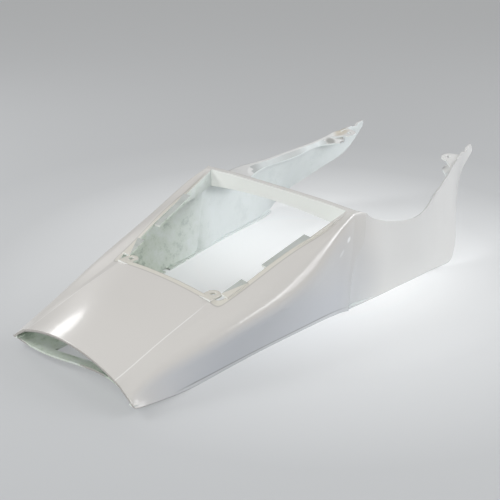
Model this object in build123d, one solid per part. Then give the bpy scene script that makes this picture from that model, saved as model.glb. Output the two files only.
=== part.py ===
from build123d import *
import math
import os

# Tail fairing of a sports motorcycle: one fibre-reinforced moulding with an open
# underside, a seat opening in its top and two side legs that reach forward.
# Millimetres. X points forward along the motorcycle, Y to its left and Z up.
# Places along X are counted from the tail-light mouth, heights from the floor
# that the moulding rests on, and widths are half widths from the middle plane.

# Moulding
wall = 3.0
flange_wall = 2.5

# Seat opening, and the crossbar in front of it
opening_rear_x = 145.0
opening_front_x = 344.0
opening_rear_half = 85.0
opening_front_half = 115.0
opening_rear_z = 68.0
opening_rear_radius = 9.0
opening_front_radius = 4.0
bar_width = 7.0
bar_half = opening_front_half + 14.0
bar_z = 129.0
bar_wall_depth = 18.0
bar_corner_depth = 26.0

# Tail-light mouth at the rear, with the strip and the panel under it
mouth_crown_z = 46.0
mouth_crease_half = 81.0
mouth_crease_z = 30.0
mouth_tip_half = opening_rear_half + 22.0
mouth_tip_z = 11.0
lip_width = 11.0
lip_panel_half = 46.0
lip_panel_x = 0.45 * opening_rear_x

# Turned-in tabs of the opening, and the two lugs at its rear corners
tab_width = 9.0
lug_hole_radius = 3.25
lug_half_width = 9.0
lug_hole_x = opening_rear_x + 8.0
lug_hole_half = opening_rear_half - 15.0

# Deck behind the opening, and the bevel along its sides
deck_x = opening_rear_x - 17.0
deck_crease_half = opening_rear_half - 9.0
deck_crease_z = opening_rear_z - 3.0
deck_crown = 5.0
bevel_width = 12.0
bevel_drop = 3.5

# Shoulder along the rear side panels, where they turn from shallow to steep
shoulder_share = 0.307
shoulder_half = opening_front_half + 26.0
shoulder_drop = 12.5

# Lower edge of the side panels, with its turned-in flange
foot_rear_half = opening_rear_half + 29.0
step_foot_x = opening_front_x - 16.0
step_foot_half = bar_half + 6.0
rest_rear_x = 0.62 * opening_rear_x
foot_flange = 9.0

# Step where the rear side panels meet the legs
step_flare = 0.43

# Legs: places along them as shares of the length from the crossbar to the tip
tip_x = 700.0
tip_half = opening_front_half - 11.0
tip_z = bar_z + 2.0
knee_share = 0.39
corner_share = 0.559
front_mid_share = 0.725
front_end_share = 0.8625
leg_end_share = 0.843
ear_share = 0.8512

# Top edge of the legs
leg_low_z = bar_z - 30.3
knee_half = bar_half + 20.0
knee_z = bar_z - 31.0
leg_end_half = tip_half + 4.6
leg_end_z = bar_z - 6.8

# Lower and front edges of the legs
rest_front_half = knee_half + 2.0
corner_half = 165.0
corner_z = 7.0
front_mid_half = 137.0
front_mid_z = 50.0
front_end_half = tip_half + 7.0
front_end_z = 79.0

# Flange turned in from the top edge of each leg
leg_flange_fall = 35.0
leg_flange_steep = 62.0
leg_flange_wide = 25.0
leg_flange_middle = 12.0
leg_flange_narrow = 10.0

# Mounting ear inside each leg's top edge
ear_hole_half = leg_end_half - 17.6
ear_hole_radius = 3.25
ear_radius = 10.5
ear_z = leg_end_z - 1.2
ear_slope = 11.0
ear_root = 33.0

# Length by which a cutting or trimmed form runs past the moulding
beyond = 40.0


def station_plane(x, lean=0.0):
    """Section plane square to X at x, its top leaning forward by lean degrees."""
    turn = math.radians(lean)
    return Plane(
        origin=(x, 0, 0),
        x_dir=(0, 1, 0),
        z_dir=(math.cos(turn), 0, -math.sin(turn)),
    )


def mix(x, start, end):
    """Value at x on the straight line from start to end, both given as (x, value)."""
    return start[1] + (end[1] - start[1]) * (x - start[0]) / (end[0] - start[0])


def leg_x(share):
    """Place along X at a share of the way from the crossbar to the tip."""
    return mix(share, (0, opening_front_x), (1, tip_x))


def inward(points, inset):
    """Half outline moved inward by inset, square to each of its edges."""
    normals = []
    for (y0, z0), (y1, z1) in zip(points, points[1:]):
        length = math.hypot(y1 - y0, z1 - z0)
        normals.append(((z1 - z0) / length, (y0 - y1) / length))
    moved = []
    for i, (y, z) in enumerate(points):
        before = normals[max(i - 1, 0)]
        after = normals[min(i, len(normals) - 1)]
        ny = before[0] + after[0]
        nz = before[1] + after[1]
        scale = 2 * inset / (ny * ny + nz * nz)
        moved.append((y + ny * scale, z + nz * scale))
    moved[0] = (0.0, moved[0][1])
    return moved


def toward(start, end, distance):
    """Point at a distance from start on the way to end, or past it."""
    share = distance / math.dist(start, end)
    return (start[0] + (end[0] - start[0]) * share, start[1] + (end[1] - start[1]) * share)


def flipped(points):
    """The same outline on the other side of the middle plane, in reverse order."""
    return [(-y, z) for y, z in reversed(points)]


def rear_section(x, crown_z, crease, bevel, shoulder, foot, roll, inset, lean=0.0):
    """Closed section of the rear body, its sides carried on below the foot."""
    low = toward(shoulder, foot, math.dist(shoulder, foot) + beyond)
    half = inward([(0.0, crown_z), crease, bevel, shoulder, low], inset)
    stretch = 1 / math.cos(math.radians(lean))
    top, crease, bevel, shoulder, low = [(y, z * stretch) for y, z in half]
    above = toward(shoulder, bevel, min(roll, 0.7 * math.dist(bevel, shoulder)))
    under = toward(shoulder, low, roll)
    with BuildSketch(station_plane(x, lean)) as sketch:
        with BuildLine():
            ThreePointArc((-crease[0], crease[1]), top, crease)
            Line(crease, bevel)
            Line(bevel, above)
            Bezier(above, shoulder, under)
            Line(under, low)
            Line(low, (-low[0], low[1]))
            Line((-low[0], low[1]), (-under[0], under[1]))
            Bezier(*flipped([above, shoulder, under]))
            Line((-above[0], above[1]), (-bevel[0], bevel[1]))
            Line((-bevel[0], bevel[1]), (-crease[0], crease[1]))
        make_face()
    return sketch.sketch


def leg_section(x, crest, middle, foot, inset):
    """Closed section of the leg body, carried on above its crest and below its foot."""
    high = toward(middle, crest, math.dist(middle, crest) + beyond)
    low = toward(middle, foot, math.dist(middle, foot) + beyond)
    side = inward([(0.0, high[1]), high, crest, middle, foot, low], inset)[1:]
    if inset:
        side[0] = toward(side[1], side[0], 2 * beyond)
    with BuildSketch(station_plane(x)) as sketch:
        with BuildLine():
            Line((-side[0][0], side[0][1]), side[0])
            Spline(side)
            Line(side[-1], (-side[-1][0], side[-1][1]))
            Spline(flipped(side))
        make_face()
    return sketch.sketch


def rim_z(x):
    """Height of the opening's side edge at x."""
    return mix(x, (opening_rear_x, opening_rear_z), (opening_front_x, bar_z))


def rim_half(x):
    """Half width of the opening's side edge at x."""
    return mix(x, (opening_rear_x, opening_rear_half), (opening_front_x, opening_front_half))


def beside_opening(share, shoulder, foot_half, roll, inset):
    """Section of the rear body beside the opening, at a share of the opening's length."""
    x = mix(share, (0, opening_rear_x), (1, opening_front_x))
    half = rim_half(x)
    z = rim_z(x)
    return rear_section(
        x, z + 4.5, (deck_crease_half, z + 3), (half + 9.5, z - 2), shoulder, (foot_half, 0), roll, inset,
    )


def rear_body(inset):
    """Solid with the outline of the rear body, flaring out ahead of the step."""
    lean = math.degrees(math.atan((opening_front_x - step_foot_x) / bar_z))
    mouth_crease = (mouth_crease_half, mouth_crease_z)
    mouth_tip = (mouth_tip_half, mouth_tip_z)
    deck_crease = (deck_crease_half, deck_crease_z)
    bevel = (deck_crease_half + bevel_width, deck_crease_z - bevel_drop)
    deck_shoulder = (deck_crease_half + 49, deck_crease_z - 8.5)
    shoulder_x = mix(shoulder_share, (0, opening_rear_x), (1, opening_front_x))
    sections = [
        rear_section(
            0, mouth_crown_z, mouth_crease, (mouth_crease_half + 3, mouth_crease_z - 1.5),
            (mouth_tip_half - 9, mouth_tip_z + 7.8), mouth_tip, 4, inset,
        ),
        rear_section(
            0.26 * deck_x, mouth_crown_z + 7, (mouth_crease_half - 3, mouth_crease_z + 10),
            (mouth_crease_half + 1.5, mouth_crease_z + 8.8), (mouth_tip_half - 6, mouth_tip_z + 20.8),
            (mouth_tip_half + 2.5, mouth_tip_z - 5), 8, inset,
        ),
        rear_section(
            0.61 * deck_x, deck_crease_z - 4, (deck_crease_half, deck_crease_z - 12),
            (deck_crease_half + 8.5, deck_crease_z - 14.3), (deck_crease_half + 35.5, deck_crease_z - 21.5),
            (foot_rear_half - 2, 2), 13, inset,
        ),
        rear_section(
            deck_x, deck_crease_z + deck_crown, deck_crease, bevel, deck_shoulder,
            (foot_rear_half, 0), 19, inset,
        ),
        beside_opening(
            shoulder_share, (shoulder_half, rim_z(shoulder_x) - shoulder_drop), foot_rear_half + 5, 27, inset,
        ),
        beside_opening(
            0.61, (shoulder_half, mix(0.61, (0, opening_rear_z), (1, bar_z)) - 8),
            step_foot_half - 10, 36, inset,
        ),
        rear_section(
            step_foot_x, bar_z + 1, (deck_crease_half, bar_z + 0.6), (opening_front_half + 8, bar_z - 1.5),
            (bar_half + 2, bar_z - 2.8), (step_foot_half, 1), 44, inset, lean,
        ),
    ]
    flare = step_flare * (tip_x - step_foot_x)
    flared = rear_section(
        tip_x, bar_z + 1 + beyond, (deck_crease_half + flare, bar_z + 0.6 + beyond),
        (opening_front_half + 8 + flare, bar_z - 1.5 + beyond), (bar_half + 2 + flare, bar_z - 2.8 + beyond),
        (step_foot_half + flare, 1), 44, inset, lean,
    )
    body = loft(sections) + loft([sections[-1], flared], ruled=True)
    if inset:
        body += extrude(sections[0], -beyond)
    return body


def leg_crest(share):
    """Half width and height of a leg's top edge at a share of its length."""
    shares = [0.02, 0.07, 0.1545, 0.274, knee_share, 0.508, 0.61, 0.733, leg_end_share, 0.944, 1.0, 1.06]
    halves = [
        bar_half + 0.5, bar_half + 5, bar_half + 10.5, knee_half + 3.5, knee_half, knee_half - 11,
        knee_half - 20, tip_half + 14, leg_end_half, tip_half - 1.5, tip_half - 3, tip_half - 4.5,
    ]
    heights = [
        bar_z + 1, bar_z - 11, bar_z - 24.2, leg_low_z, knee_z, knee_z + 4.7, knee_z + 9.6,
        leg_end_z - 7.4, leg_end_z, tip_z - 2.6, tip_z - 0.5, tip_z + 3.5,
    ]
    i = max(k for k in range(len(shares) - 1) if shares[k] <= max(share, shares[0]))
    ends = (shares[i], shares[i + 1])
    half = mix(share, (ends[0], halves[i]), (ends[1], halves[i + 1]))
    return half, mix(share, (ends[0], heights[i]), (ends[1], heights[i + 1]))


def leg_body(inset):
    """Solid with the outline of both legs, and wide open behind the step."""
    start_x = step_foot_x + 4
    rows = [
        (0.07, (bar_half + 12, 78), (step_foot_half + 2, 0)),
        (0.1545, (bar_half + 17.5, 60), (step_foot_half + 8, 0)),
        (0.274, (knee_half + 3.5, 55), (rest_front_half - 3.5, 0)),
        (knee_share, (knee_half + 4.5, 55), (rest_front_half + 1, 0)),
        (0.466, (knee_half + 0.5, 55), (mix(0.5, (0, rest_front_half), (1, corner_half)) - 2, 1.5)),
        (corner_share, (corner_half - 17, 56), (corner_half, corner_z)),
        (0.6236, (mix(0.5, (0, corner_half), (1, front_mid_half)) - 9.5, 63),
         (mix(0.5, (0, corner_half), (1, front_mid_half)) + 7, front_mid_z - 24)),
        (front_mid_share, (front_mid_half - 9, 83), (front_mid_half, front_mid_z)),
        (front_end_share, (front_end_half - 1.5, 101), (front_end_half, front_end_z)),
        (0.944, (tip_half - 0.8, tip_z - 14), (tip_half - 0.5, tip_z - 26)),
        (1.0, (tip_half - 1.2, tip_z - 8), (tip_half + 0.2, tip_z - 16)),
        (1.06, (tip_half - 2, tip_z - 4), (tip_half, tip_z - 12)),
    ]
    start = leg_section(start_x, (bar_half + 1, bar_z - 2), (bar_half + 9.5, 75), (step_foot_half + 0.5, 1), inset)
    sections = [start]
    for share, middle, foot in rows:
        sections.append(leg_section(leg_x(share), leg_crest(share), middle, foot, inset))
    wide = Pos((start_x - beyond) / 2, 0, bar_z / 2) * Box(
        start_x + beyond, 4 * corner_half, bar_z + 8 * beyond
    )
    return loft(sections) + wide


lower_edge = [(0, mouth_tip_z), (0.39 * rest_rear_x, 0.45 * mouth_tip_z), (rest_rear_x, 0)]
corner_edge = [
    (leg_x(0.3455), 0), (leg_x(0.452), 0.14 * corner_z), (leg_x(0.517), 0.45 * corner_z),
    (leg_x(corner_share), corner_z),
]
front_edge = [
    corner_edge[-1], (leg_x(0.587), 2.2 * corner_z), (leg_x(0.6236), front_mid_z - 24),
    (leg_x(front_mid_share), front_mid_z), (leg_x(0.792), mix(0.5, (0, front_mid_z), (1, front_end_z))),
    (leg_x(front_end_share), front_end_z), (leg_x(0.9213), tip_z - 34), (leg_x(0.967), tip_z - 20.5),
    (tip_x, tip_z - 10.5),
]
hook_edge = [
    front_edge[-1], (tip_x - 1, tip_z - 4), (tip_x - 4, tip_z), (tip_x - 16.5, tip_z - 2),
    (tip_x - 18.5, tip_z - 4.5), (tip_x - 20, tip_z - 6.5), (tip_x - 26, tip_z - 6.5),
    (tip_x - 32, tip_z - 4.7), (leg_x(leg_end_share), leg_end_z),
]


def side_outline():
    """Form that keeps the left half within its trimmed edges, seen from the side."""
    with BuildSketch(Plane.XZ) as sketch:
        with BuildLine():
            Spline(lower_edge, tangents=((1, -0.2), (1, 0)))
            Line(lower_edge[-1], corner_edge[0])
            Spline(corner_edge, tangents=((1, 0), (1, 0.6)))
            Spline(front_edge, tangents=((1, 0.6), (1, 0.9)))
            Polyline(*hook_edge)
            Polyline(
                hook_edge[-1],
                (hook_edge[-1][0], bar_z + beyond),
                (0, bar_z + beyond),
                (0, mouth_tip_z),
            )
        make_face()
    return extrude(sketch.sketch, -2 * corner_half)


def opening_cut():
    """Form that opens the deck for the seat."""
    with BuildSketch(Plane.XY.offset(opening_rear_z - 2 * beyond / 3)) as sketch:
        with BuildLine():
            Polyline(
                (opening_rear_x, -opening_rear_half),
                (opening_front_x, -opening_front_half),
                (opening_front_x, opening_front_half),
                (opening_rear_x, opening_rear_half),
                close=True,
            )
        make_face()
        corners = sketch.vertices().sort_by(Axis.X)
        fillet(corners[:2], opening_rear_radius)
        fillet(corners[2:], opening_front_radius)
    return extrude(sketch.sketch, bar_z)


def opening_side_plane():
    """Upright plane through the opening's left side edge, its X running to the rear."""
    run = opening_front_x - opening_rear_x
    rise = opening_front_half - opening_rear_half
    length = math.hypot(run, rise)
    return Plane(
        origin=(opening_front_x, opening_front_half, 0),
        x_dir=(-run / length, -rise / length, 0),
        z_dir=(-rise / length, run / length, 0),
    )


def along_opening(x, below=0.0):
    """Point of the opening's side edge at x, in opening_side_plane, lowered by below."""
    stretch = math.hypot(1, (opening_front_half - opening_rear_half) / (opening_front_x - opening_rear_x))
    return ((opening_front_x - x) * stretch, rim_z(x) - below)


def opening_tab(start_share, end_share):
    """Turned-in tab of the opening's side edge between two shares of its length."""
    start_x = mix(start_share, (0, opening_rear_x), (1, opening_front_x))
    end_x = mix(end_share, (0, opening_rear_x), (1, opening_front_x))
    with BuildSketch(opening_side_plane().offset(-tab_width)) as sketch:
        with BuildLine():
            Polyline(
                along_opening(start_x, 0.5), along_opening(end_x, 0.5),
                along_opening(end_x, 0.5 + flange_wall), along_opening(start_x, 0.5 + flange_wall),
                close=True,
            )
        make_face()
    return extrude(sketch.sketch, tab_width + wall)


def opening_walls():
    """Walls that hang below the front of the opening: side part and crossbar part."""
    side_end_x = mix(0.34, (0, opening_rear_x), (1, opening_front_x))
    with BuildSketch(opening_side_plane()) as sketch:
        with BuildLine():
            Polyline(
                along_opening(opening_front_x + flange_wall, 2), along_opening(side_end_x, 2),
                along_opening(opening_front_x + flange_wall, bar_corner_depth),
                close=True,
            )
        make_face()
    side = extrude(sketch.sketch, flange_wall)
    corner = opening_front_half + 1
    with BuildSketch(Plane.YZ.offset(opening_front_x)) as sketch:
        with BuildLine():
            Line((0, bar_z - 1), (0, bar_z - bar_wall_depth))
            TangentArc(
                (0, bar_z - bar_wall_depth), (corner, bar_z - bar_corner_depth), tangent=(1, 0),
            )
            Line((corner, bar_z - bar_corner_depth), (corner, bar_z - 1))
            Line((corner, bar_z - 1), (0, bar_z - 1))
        make_face()
    return side + extrude(sketch.sketch, flange_wall)


def rear_lug():
    """Lug at the opening's rear corner with its fixing hole."""
    level = opening_rear_z + deck_crown - wall
    with BuildSketch(Plane.XY.offset(level)) as sketch:
        with Locations((lug_hole_x - 5, lug_hole_half)):
            Rectangle(2 * lug_half_width, 2 * lug_half_width)
        with Locations((lug_hole_x, lug_hole_half)):
            Circle(lug_half_width)
            Circle(lug_hole_radius, mode=Mode.SUBTRACT)
    return extrude(sketch.sketch, -flange_wall)


def along_crest(shape, shares):
    """Solid along a leg's top edge, from a closed outline drawn at each share of its length."""
    sections = []
    for share in shares:
        with BuildSketch(station_plane(leg_x(share))) as sketch:
            with BuildLine():
                Polyline(*shape(share, *leg_crest(share)), close=True)
            make_face()
        sections.append(sketch.sketch)
    return loft(sections)


crest_shares = [0.02, 0.07, 0.1545, 0.274, knee_share, 0.508, 0.61, 0.733, leg_end_share]


def flange_fall(share):
    """Angle of a leg's top flange below level, steeper ahead of the knee."""
    return math.radians(
        mix(min(max(share, 0.274), knee_share), (0.274, leg_flange_fall), (knee_share, leg_flange_steep))
    )


def flange_outline(share, half, z):
    """Outline of the flange turned in and down from a leg's top edge."""
    fall = flange_fall(share)
    if share < knee_share:
        width = leg_flange_wide
    else:
        width = mix(min(share, 0.61), (knee_share, leg_flange_middle), (0.61, leg_flange_narrow))
    edge = (half - wall / 2, z)
    end = (edge[0] - width * math.cos(fall), edge[1] - width * math.sin(fall))
    return edge, (edge[0], edge[1] - flange_wall), (end[0], end[1] - flange_wall), end


def above_outline(share, half, z):
    """Outline of what is trimmed away above a leg's top edge."""
    drop = math.tan(math.radians(leg_flange_fall))
    return (
        (half + beyond / 2, z + drop * beyond / 2), (half - beyond, z - drop * beyond),
        (-1, z - drop * beyond), (-1, z + 2 * beyond), (half + beyond / 2, z + 2 * beyond),
    )


def foot_flange_band():
    """Flange turned in along the lower edge of a side panel."""
    foot = [
        (0, mouth_tip_half), (0.26 * deck_x, mouth_tip_half + 2.5), (0.61 * deck_x, foot_rear_half - 2),
        (deck_x, foot_rear_half), (mix(shoulder_share, (0, opening_rear_x), (1, opening_front_x)), foot_rear_half + 5),
        (mix(0.61, (0, opening_rear_x), (1, opening_front_x)), step_foot_half - 10),
        (step_foot_x, step_foot_half), (leg_x(0.3455), rest_front_half), (leg_x(0.466), rest_front_half + 5),
        (leg_x(corner_share), corner_half),
    ]
    outer = [(x, half - wall / 2) for x, half in foot]
    inner = [(x, half - foot_flange) for x, half in foot]
    with BuildSketch(Plane.XY) as plan:
        with BuildLine():
            Spline(outer)
            Line(outer[-1], inner[-1])
            Spline(inner[::-1])
            Line(inner[0], outer[0])
        make_face()
    with BuildSketch(Plane.XZ) as level:
        with BuildLine():
            Spline(lower_edge, tangents=((1, -0.2), (1, 0)))
            Line(lower_edge[-1], corner_edge[0])
            Spline(corner_edge, tangents=((1, 0), (1, 0.6)))
            rise = [(x, z + flange_wall) for x, z in corner_edge]
            drop = [(x, z + flange_wall) for x, z in lower_edge]
            Line(corner_edge[-1], rise[-1])
            Spline(rise, tangents=((1, 0), (1, 0.6)))
            Line(rise[0], drop[-1])
            Spline(drop, tangents=((1, -0.2), (1, 0)))
            Line(drop[0], lower_edge[0])
        make_face()
    band = extrude(plan.sketch, beyond) & extrude(level.sketch, 2 * corner_half, both=True)
    end_x = leg_x(0.495)
    return band & (Pos(end_x / 2, 0, 0) * Box(end_x, 4 * corner_half, 4 * beyond))


def ear():
    """Mounting ear inside a leg's top edge, sloping down to the rear, with its upright hole."""
    ear_x = leg_x(ear_share)
    tilt = math.radians(ear_slope)
    plane = Plane(
        origin=(ear_x, 0, ear_z), x_dir=(math.cos(tilt), 0, math.sin(tilt)),
        z_dir=(-math.sin(tilt), 0, math.cos(tilt)),
    )
    with BuildSketch(plane) as sketch:
        with BuildLine():
            Polyline(
                (-ear_radius, ear_hole_half), (ear_radius, ear_hole_half),
                (ear_radius + 3, leg_end_half - 4.6), (-ear_root, leg_end_half + 6), close=True,
            )
        make_face()
        with Locations((0, ear_hole_half)):
            Circle(ear_radius)
    plate = extrude(sketch.sketch, -flange_wall)
    return plate - Pos(ear_x, ear_hole_half, ear_z) * Cylinder(ear_hole_radius, beyond)


def mouth_lip():
    """Uneven flat strip under the mouth, widening to a panel on the left."""
    outer = [
        (2.5, mouth_tip_half - 6), (1.5, 0.68 * mouth_tip_half), (4.5, 0.38 * mouth_tip_half),
        (11, 0.13 * mouth_tip_half), (17, -0.12 * mouth_tip_half), (19, -0.37 * mouth_tip_half),
        (14, -0.65 * mouth_tip_half), (3, -mouth_tip_half + 8),
    ]
    inner = [(x + lip_width, y) for x, y in outer]
    with BuildSketch(Plane.XY.offset(mouth_tip_z)) as sketch:
        with BuildLine():
            Spline(outer)
            Line(outer[-1], inner[-1])
            Spline(inner[::-1])
            Line(inner[0], outer[0])
        make_face()
        with BuildLine():
            Polyline(
                (0.6 * lip_width, lip_panel_half + 12), (1.2 * lip_width, lip_panel_half),
                (lip_panel_x, lip_panel_half + 3), (lip_panel_x + 8, 0.6 * (lip_panel_half + mouth_tip_half)),
                (lip_panel_x, mouth_tip_half + 1), (0.6 * lip_width, mouth_tip_half - 5), close=True,
            )
        make_face()
    return extrude(sketch.sketch, -flange_wall)


def chipped_edge():
    """Uneven bites out of the left foot flange, where the trimming left it rough."""
    bites = [(0.02, 3), (0.1, 4.5), (0.18, 3.5), (0.35, 5), (0.42, 3), (0.62, 4), (0.69, 5.5), (0.88, 3.5)]
    tools = []
    for share, depth in bites:
        x = mix(share, (0, rest_rear_x), (1, step_foot_x))
        half = mix(x, (rest_rear_x, foot_rear_half - 1), (step_foot_x, step_foot_half - 2)) - foot_flange
        tools.append(Pos(x, half - 3 + depth / 2, 0) * Cylinder(depth, 4 * flange_wall))
    return tools


outline = side_outline()
body = rear_body(0) & leg_body(0) & (outline + mirror(outline, Plane.XZ))
body -= opening_cut()
body -= rear_body(wall) & leg_body(wall)

details = [
    opening_walls(),
    opening_tab(0.055, 0.206),
    opening_tab(0.357, 0.693),
    rear_lug(),
    along_crest(flange_outline, crest_shares),
    foot_flange_band(),
]
details += [mirror(detail, Plane.XZ) for detail in details]
tail_fairing = body + details + [mouth_lip()]

above = along_crest(above_outline, crest_shares)
tail_fairing -= [above, mirror(above, Plane.XZ)] + chipped_edge()
tail_fairing += [ear(), mirror(ear(), Plane.XZ)]

# The origin is the middle of the length, on the floor
tail_fairing = Pos(-tip_x / 2, 0, 0) * tail_fairing

os.makedirs("parts", exist_ok=True)
export_step(tail_fairing, "parts/tail_fairing.step")
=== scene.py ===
import math
import bpy
import bmesh
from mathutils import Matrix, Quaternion, Vector


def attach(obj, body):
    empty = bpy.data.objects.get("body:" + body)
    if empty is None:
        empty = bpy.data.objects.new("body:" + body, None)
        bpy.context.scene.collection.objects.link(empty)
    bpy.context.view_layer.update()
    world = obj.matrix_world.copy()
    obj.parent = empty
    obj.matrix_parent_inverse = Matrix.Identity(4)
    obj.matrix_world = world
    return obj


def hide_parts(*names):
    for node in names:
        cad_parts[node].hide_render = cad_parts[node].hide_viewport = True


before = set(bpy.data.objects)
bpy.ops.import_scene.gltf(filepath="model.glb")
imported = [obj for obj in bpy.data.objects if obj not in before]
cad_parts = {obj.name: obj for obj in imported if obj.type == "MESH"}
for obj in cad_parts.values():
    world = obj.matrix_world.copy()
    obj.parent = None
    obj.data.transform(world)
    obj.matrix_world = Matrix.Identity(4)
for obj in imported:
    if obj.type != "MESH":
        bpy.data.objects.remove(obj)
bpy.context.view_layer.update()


# Tail fairing
# The cover behind a motorcycle's seat, one thin moulding of glass-fibre laminate
# laid up in a mould. It is sprayed pearl white outside and over its rims, and
# left raw inside, where the cloth and the resin show.

fairing_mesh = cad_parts["tail_fairing"].data.copy()
fairing = bpy.data.objects.new("tail_fairing_shell", fairing_mesh)
bpy.context.scene.collection.objects.link(fairing)
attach(fairing, "root")
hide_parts("tail_fairing")


def feed(tree, value, socket):
    if isinstance(value, bpy.types.NodeSocket):
        tree.links.new(value, socket)
    else:
        socket.default_value = value


def new_material(name, roughness):
    material = bpy.data.materials.new(name)
    material.use_nodes = True
    shader = material.node_tree.nodes["Principled BSDF"]
    shader.inputs["Roughness"].default_value = roughness
    return material, material.node_tree, shader


def axes_of(tree, vector):
    split = tree.nodes.new("ShaderNodeSeparateXYZ")
    tree.links.new(vector, split.inputs["Vector"])
    return split.outputs


def clouds(tree, place, scale, detail, roughness):
    noise = tree.nodes.new("ShaderNodeTexNoise")
    noise.inputs["Scale"].default_value = scale
    noise.inputs["Detail"].default_value = detail
    noise.inputs["Roughness"].default_value = roughness
    tree.links.new(place.outputs["Object"], noise.inputs["Vector"])
    return noise.outputs["Fac"]


def soft_patch(tree, place, middle, reach, tilt=0):
    centred = tree.nodes.new("ShaderNodeMapping")
    centred.vector_type = "TEXTURE"
    centred.inputs["Location"].default_value = middle
    centred.inputs["Rotation"].default_value = (0, math.radians(tilt), 0)
    centred.inputs["Scale"].default_value = reach
    tree.links.new(place.outputs["Object"], centred.inputs["Vector"])
    patch = tree.nodes.new("ShaderNodeTexGradient")
    patch.gradient_type = "SPHERICAL"
    tree.links.new(centred.outputs["Vector"], patch.inputs["Vector"])
    return patch.outputs["Fac"]


def fade_in(tree, value, start, full, share=1.0):
    step = tree.nodes.new("ShaderNodeMapRange")
    step.inputs["From Min"].default_value = start
    step.inputs["From Max"].default_value = full
    step.inputs["To Max"].default_value = share
    tree.links.new(value, step.inputs["Value"])
    return step.outputs["Result"]


def calculate(tree, operation, *values):
    step = tree.nodes.new("ShaderNodeMath")
    step.operation = operation
    for value, socket in zip(values, step.inputs):
        feed(tree, value, socket)
    return step.outputs["Value"]


def color_steps(tree, value, stops):
    ramp = tree.nodes.new("ShaderNodeValToRGB")
    elements = ramp.color_ramp.elements
    elements[0].position, elements[0].color = stops[0]
    elements[1].position, elements[1].color = stops[-1]
    for position, color in stops[1:-1]:
        elements.new(position).color = color
    tree.links.new(value, ramp.inputs["Fac"])
    return ramp.outputs


def layered(tree, under, over, share):
    layer = tree.nodes.new("ShaderNodeMix")
    layer.data_type = "RGBA"
    feed(tree, share, layer.inputs["Factor"])
    feed(tree, under, layer.inputs["A"])
    feed(tree, over, layer.inputs["B"])
    return layer.outputs["Result"]


# Pearl white paint with a random tone, plus painted light and shade: warm on top,
# cooler and a little darker low on the sides, and lighter on the legs
pearl_painted_light = (0.62, 0.60, 0.572, 1)
pearl_painted_shade = (0.56, 0.58, 0.615, 1)
pearl_leg_painted_light = (0.735, 0.735, 0.722, 1)
painted_shade_height = 0.03
painted_light_height = 0.11
painted_height_share = 0.6
cloud_share = 0.5
leg_light_start = -0.03
leg_light_full = 0.05

paint, tree, shader = new_material("pearl_white_paint", roughness=0.3)
shader.inputs["Coat Weight"].default_value = 0.7
shader.inputs["Coat Roughness"].default_value = 0.11
place = tree.nodes.new("ShaderNodeTexCoord")
at = axes_of(tree, place.outputs["Object"])
facing = axes_of(tree, place.outputs["Normal"])
cloud = clouds(tree, place, scale=9.0, detail=3.0, roughness=0.5)
# Painted light and shade: warm where the paint faces up and stands high, cool where it
# faces sideways or down low on the sides
painted_height_light = fade_in(tree, at["Z"], painted_shade_height, painted_light_height, painted_height_share)
painted_uplight = calculate(tree, "ADD", facing["Z"], painted_height_light)
tone_and_painted_light = calculate(tree, "MULTIPLY_ADD", cloud, cloud_share, painted_uplight)
pearl = color_steps(tree, tone_and_painted_light, ((0.1, pearl_painted_shade), (1.0, pearl_painted_light)))["Color"]
# Painted light: the paint turns lighter toward the legs
painted_leg_light = fade_in(tree, at["X"], leg_light_start, leg_light_full)
coat = layered(tree, pearl, pearl_leg_painted_light, painted_leg_light)

# Two scuffs beside the near step, then a beige and a dark stain on the far tip
marks = (
    ((-0.020, -0.131, 0.098), (0.005, 0.006, 0.0034), -50, (0.90, 0.91, 0.92, 1), 0.9),
    ((-0.034, -0.132, 0.084), (0.007, 0.006, 0.0030), -40, (0.80, 0.81, 0.82, 1), 0.5),
    ((0.294, 0.104, 0.120), (0.020, 0.012, 0.0120), 0, (0.62, 0.56, 0.45, 1), 0.8),
    ((0.266, 0.106, 0.111), (0.009, 0.012, 0.0060), 0, (0.30, 0.30, 0.28, 1), 0.8),
)
mark_full = 0.5
for middle, half_sizes, tilt, mark_color, strength in marks:
    inside = soft_patch(tree, place, middle, half_sizes, tilt)
    mark = fade_in(tree, inside, 0, mark_full, strength)
    coat = layered(tree, coat, mark_color, mark)

# A fine pale line beside the crease at each side of the deck's rear, a painted
# highlight along the crease
crease_painted_highlight = (0.80, 0.79, 0.77, 1)
crease_half = 0.0768
line_half = 0.0006
line_start = -0.21
line_full = -0.24
line_share = 0.8

off_middle = calculate(tree, "ABSOLUTE", at["Y"])
crease = calculate(tree, "COMPARE", off_middle, crease_half, line_half)
on_rear = fade_in(tree, at["X"], line_start, line_full, line_share)
painted_highlight_line = calculate(tree, "MULTIPLY", crease, on_rear)
coat = layered(tree, coat, crease_painted_highlight, painted_highlight_line)

# The rim of the seat opening, a beige band that ends in a fine groove, whose shade is
# painted as a dark line. The rim is narrowest at its rear, and widens evenly as far as
# the crossbar
rim_beige = (0.66, 0.635, 0.56)
rim_groove_painted_shade = (0.36, 0.35, 0.32)
rim_rear_x = -0.205
rim_rear_half = 0.085
rim_widening = 0.151
rim_middle_half = rim_rear_half - rim_widening * rim_rear_x
rim_corner = 0.012
band_width = 0.01
bar_start = -0.01
bar_full = -0.06
band_stops = (
    (0, (*rim_beige, 0.75)),
    (0.5, (*rim_beige, 0.75)),
    (0.58, (*rim_groove_painted_shade, 0.5)),
    (0.64, (*rim_groove_painted_shade, 0.5)),
    (0.72, (*rim_groove_painted_shade, 0)),
)

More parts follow.
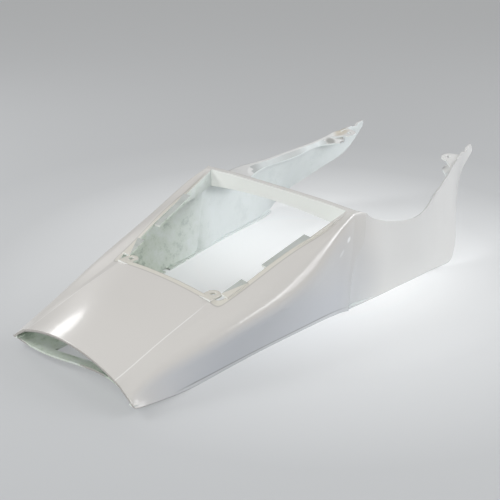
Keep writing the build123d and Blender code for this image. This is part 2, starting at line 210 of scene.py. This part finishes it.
narrowed = calculate(tree, "MULTIPLY_ADD", at["X"], -rim_widening, off_middle)
past_side = calculate(tree, "SUBTRACT", narrowed, rim_middle_half)
past_rear = calculate(tree, "SUBTRACT", rim_rear_x, at["X"])
past_rim = calculate(tree, "SMOOTH_MAX", past_side, past_rear, rim_corner)
band = color_steps(tree, fade_in(tree, past_rim, 0, band_width), band_stops)
behind_bar = fade_in(tree, at["X"], bar_start, bar_full)
on_band = calculate(tree, "MULTIPLY", band["Alpha"], behind_bar)
coat = layered(tree, coat, band["Color"], on_band)

# The mouth's cut edge, where the beige undercoat shows
mouth_beige = (0.40, 0.37, 0.33, 1)
mouth_start = -0.25
mouth_full = -0.3
cut_start = -0.55
cut_full = -0.8
cut_share = 0.85

cut_face = fade_in(tree, facing["X"], cut_start, cut_full, cut_share)
at_mouth = fade_in(tree, at["X"], mouth_start, mouth_full)
cut_edge = calculate(tree, "MULTIPLY", cut_face, at_mouth)
coat = layered(tree, coat, mouth_beige, cut_edge)

# The lowest edge of the rear sides: a pale painted reflection along the very bottom,
# below a thin dark line of painted shade
edge_painted_reflection = (0.66, 0.68, 0.69)
edge_painted_shade = (0.24, 0.25, 0.26)
edge_height = 0.008
edge_start = -0.30
edge_full = -0.27
painted_edge_light_stops = (
    (0, (*edge_painted_reflection, 0.7)),
    (0.5, (*edge_painted_reflection, 0.7)),
    (0.62, (*edge_painted_shade, 0.75)),
    (0.7, (*edge_painted_shade, 0.75)),
    (0.85, (*edge_painted_shade, 0)),
)

edge = color_steps(tree, fade_in(tree, at["Z"], 0, edge_height), painted_edge_light_stops)
past_mouth = fade_in(tree, at["X"], edge_start, edge_full)
on_side = calculate(tree, "MULTIPLY", past_mouth, behind_bar)
on_painted_edge_light = calculate(tree, "MULTIPLY", on_side, edge["Alpha"])
coat = layered(tree, coat, edge["Color"], on_painted_edge_light)
tree.links.new(coat, shader.inputs["Base Color"])

# The paint rounds the sharp edges a little, which shows in the gloss
edge_rounding = 0.0015
rounded = tree.nodes.new("ShaderNodeBevel")
rounded.samples = 8
rounded.inputs["Radius"].default_value = edge_rounding
tree.links.new(rounded.outputs["Normal"], shader.inputs["Coat Normal"])
tree.links.new(rounded.outputs["Normal"], shader.inputs["Normal"])

# Raw laminate, greenish and mottled at the rear, with painted light making it paler
# toward the legs, grey on the tabs and cream on the crossbar's rear wall
laminate_green = (0.63, 0.69, 0.60, 1)
laminate_pale = (0.76, 0.80, 0.78, 1)
laminate_dark = (0.36, 0.43, 0.36, 1)
laminate_painted_light = (0.83, 0.87, 0.88, 1)
laminate_grey = (0.40, 0.41, 0.40, 1)
laminate_cream = (0.88, 0.885, 0.85, 1)
stain_stops = ((0.35, laminate_dark), (0.46, laminate_green), (0.7, laminate_pale))
front_start = -0.12
front_full = 0.02
front_light_share = 0.85
raised_start = 0.025
raised_full = 0.05
flat_start = 0.2
flat_full = 0.6
flat_share = 0.75
wall_start = -0.6
wall_full = -0.85
wall_share = 0.85

laminate, tree, shader = new_material("raw_laminate", roughness=0.5)
place = tree.nodes.new("ShaderNodeTexCoord")
at = axes_of(tree, place.outputs["Object"])
facing = axes_of(tree, place.outputs["Normal"])
mottle = clouds(tree, place, scale=45.0, detail=8.0, roughness=0.7)
cloth = color_steps(tree, mottle, stain_stops)["Color"]
painted_front_light = fade_in(tree, at["X"], front_start, front_full, front_light_share)
cloth = layered(tree, cloth, laminate_painted_light, painted_front_light)
raised = fade_in(tree, at["Z"], raised_start, raised_full)
flat = fade_in(tree, facing["Z"], flat_start, flat_full, flat_share)
on_tabs = calculate(tree, "MULTIPLY", flat, raised)
cloth = layered(tree, cloth, laminate_grey, on_tabs)
wall = fade_in(tree, facing["X"], wall_start, wall_full, wall_share)
on_wall = calculate(tree, "MULTIPLY", wall, raised)
cloth = layered(tree, cloth, laminate_cream, on_wall)
tree.links.new(cloth, shader.inputs["Base Color"])

# Paint is on every face that looks away from a core inside the shell, apart from
# the tabs, and on the mouth's cut edge, apart from its raw lower lip
core_inset = 0.06
core_height = 0.03
tab_start = -0.187
tab_end = -0.02
tab_lowest = 0.06
tab_margin = 0.0015
lip_top = 0.0145
lip_half = 0.1
cut_facing = -0.5

fairing_mesh.materials.clear()
fairing_mesh.materials.append(paint)
fairing_mesh.materials.append(laminate)
for face in fairing_mesh.polygons:
    x, y, z = face.center
    core = Vector((x, math.copysign(max(abs(y) - core_inset, 0), y), core_height))
    outside = face.normal.dot(face.center - core) > 0
    tab_half = rim_middle_half + rim_widening * x - tab_margin
    tab = tab_start < x < tab_end and abs(y) < tab_half and z > tab_lowest
    beside_lip = z > lip_top or abs(y) > lip_half
    mouth_edge = x < mouth_full and beside_lip and face.normal.x < cut_facing
    painted = mouth_edge or (outside and not tab)
    face.material_index = 0 if painted else 1


# Camera
# The photograph's own place, lens and slight roll, worked out from pairs of like
# points on the fairing's two sides.

camera_data = bpy.data.cameras.new("camera")
camera_data.sensor_width = 36
camera_data.lens = 58.32
camera = bpy.data.objects.new("camera", camera_data)
bpy.context.scene.collection.objects.link(camera)
camera.location = (-0.7864, -0.6360, 0.4977)
camera.rotation_mode = "QUATERNION"
sight = Vector((0.68706, 0.59620, -0.41531))
turn = sight.to_track_quat("-Z", "Y")
camera_roll = math.radians(0.74)
camera.rotation_quaternion = turn @ Quaternion((0, 0, 1), camera_roll)
bpy.context.scene.camera = camera


# Floor
# A plain pale sheet that runs on behind the part, with a soft pool of painted light
# around it. A share of its brightness is a painted glow that shows directly, in
# reflections and through clear things, and lights nothing else.

floor_edge = (0.20, 0.205, 0.212, 1)
floor_pool_painted_light = (0.84, 0.85, 0.85, 1)
floor_painted_glow = (0.965, 0.985, 0.995, 1)
floor_half = 4.0
pool_middle = (0.06, -0.01, 0)
pool_radius = 0.6
pool_painted_glow = 0.06
even_painted_glow = 0.295
pool_levels = ((0, 0), (0.25, 0.06), (0.5, 0.29), (0.67, 0.58), (0.83, 0.87), (1, 1))

floor_mesh = bpy.data.meshes.new("floor")
sheet = bmesh.new()
bmesh.ops.create_grid(sheet, x_segments=1, y_segments=1, size=floor_half)
sheet.to_mesh(floor_mesh)
sheet.free()
floor = bpy.data.objects.new("floor", floor_mesh)
bpy.context.scene.collection.objects.link(floor)

floor_material, tree, shader = new_material("floor_sheet", roughness=0.6)
shader.inputs["Emission Color"].default_value = floor_painted_glow
place = tree.nodes.new("ShaderNodeTexCoord")
pool = soft_patch(tree, place, pool_middle, (pool_radius, pool_radius, pool_radius))
pool_stops = [(position, (level, level, level, 1)) for position, level in pool_levels]
painted_pool_level = color_steps(tree, pool, pool_stops)["Color"]
sheet_color = layered(tree, floor_edge, floor_pool_painted_light, painted_pool_level)
tree.links.new(sheet_color, shader.inputs["Base Color"])
ray = tree.nodes.new("ShaderNodeLightPath").outputs
seen = calculate(tree, "ADD", ray["Is Camera Ray"], ray["Is Glossy Ray"])
seen = calculate(tree, "ADD", seen, ray["Is Transmission Ray"])
seen = calculate(tree, "MINIMUM", seen, 1.0)
painted_glow = calculate(tree, "MULTIPLY_ADD", painted_pool_level, pool_painted_glow, even_painted_glow)
shown_painted_glow = calculate(tree, "MULTIPLY", painted_glow, seen)
tree.links.new(shown_painted_glow, shader.inputs["Emission Strength"])
floor_mesh.materials.append(floor_material)


# Lamps
# Soft boxes round the part: a strong one beyond its far side, three weaker ones
# beyond its near side and legs, a low one behind the camera, and two small ones
# aimed at the deck and at the near side's crest. The room adds a little light.

broad = (0.8, 0.8)
part_middle = (0.05, 0, 0)
deck_rear = (-0.34, 0, 0.05)
near_crest = (-0.1, -0.1, 0.08)


def soft_box(name, location, target, size, power, color):
    data = bpy.data.lights.new(name, "AREA")
    data.shape = "ELLIPSE"
    data.size, data.size_y = size
    data.energy = power
    data.color = color
    lamp = bpy.data.objects.new(name, data)
    bpy.context.scene.collection.objects.link(lamp)
    lamp.location = location
    lamp.rotation_mode = "QUATERNION"
    aim = Vector(target) - Vector(location)
    lamp.rotation_quaternion = aim.to_track_quat("-Z", "Y")


soft_box("back_lamp", (-0.9, 1.4, 1.2), part_middle, broad, 16, (0.98, 0.99, 1))
soft_box("right_lamp", (1.0, -1.3, 0.9), part_middle, broad, 8, (0.95, 0.97, 1))
soft_box("side_lamp", (1.7, -0.3, 1.0), part_middle, broad, 2.2, (0.97, 0.98, 1))
soft_box("near_lamp", (0.5, -0.9, 0.7), part_middle, broad, 3.4, (0.97, 0.98, 1))
soft_box("rear_lamp", (-1.5, -0.4, 0.5), part_middle, (0.6, 0.5), 9, (0.97, 0.99, 1))
soft_box("deck_lamp", (0.0, 1.27, 0.76), deck_rear, (0.36, 0.3), 1.5, (1, 1, 1))
soft_box("streak_lamp", (0.12, -1.15, 1.0), near_crest, (0.35, 0.35), 1.5, (1, 1, 1))

world = bpy.data.worlds.new("room")
bpy.context.scene.world = world
world.use_nodes = True
room_light = world.node_tree.nodes["Background"].inputs
room_light["Color"].default_value = (1, 0.99, 0.98, 1)
room_light["Strength"].default_value = 0.35

bpy.context.scene.view_settings.view_transform = "Standard"
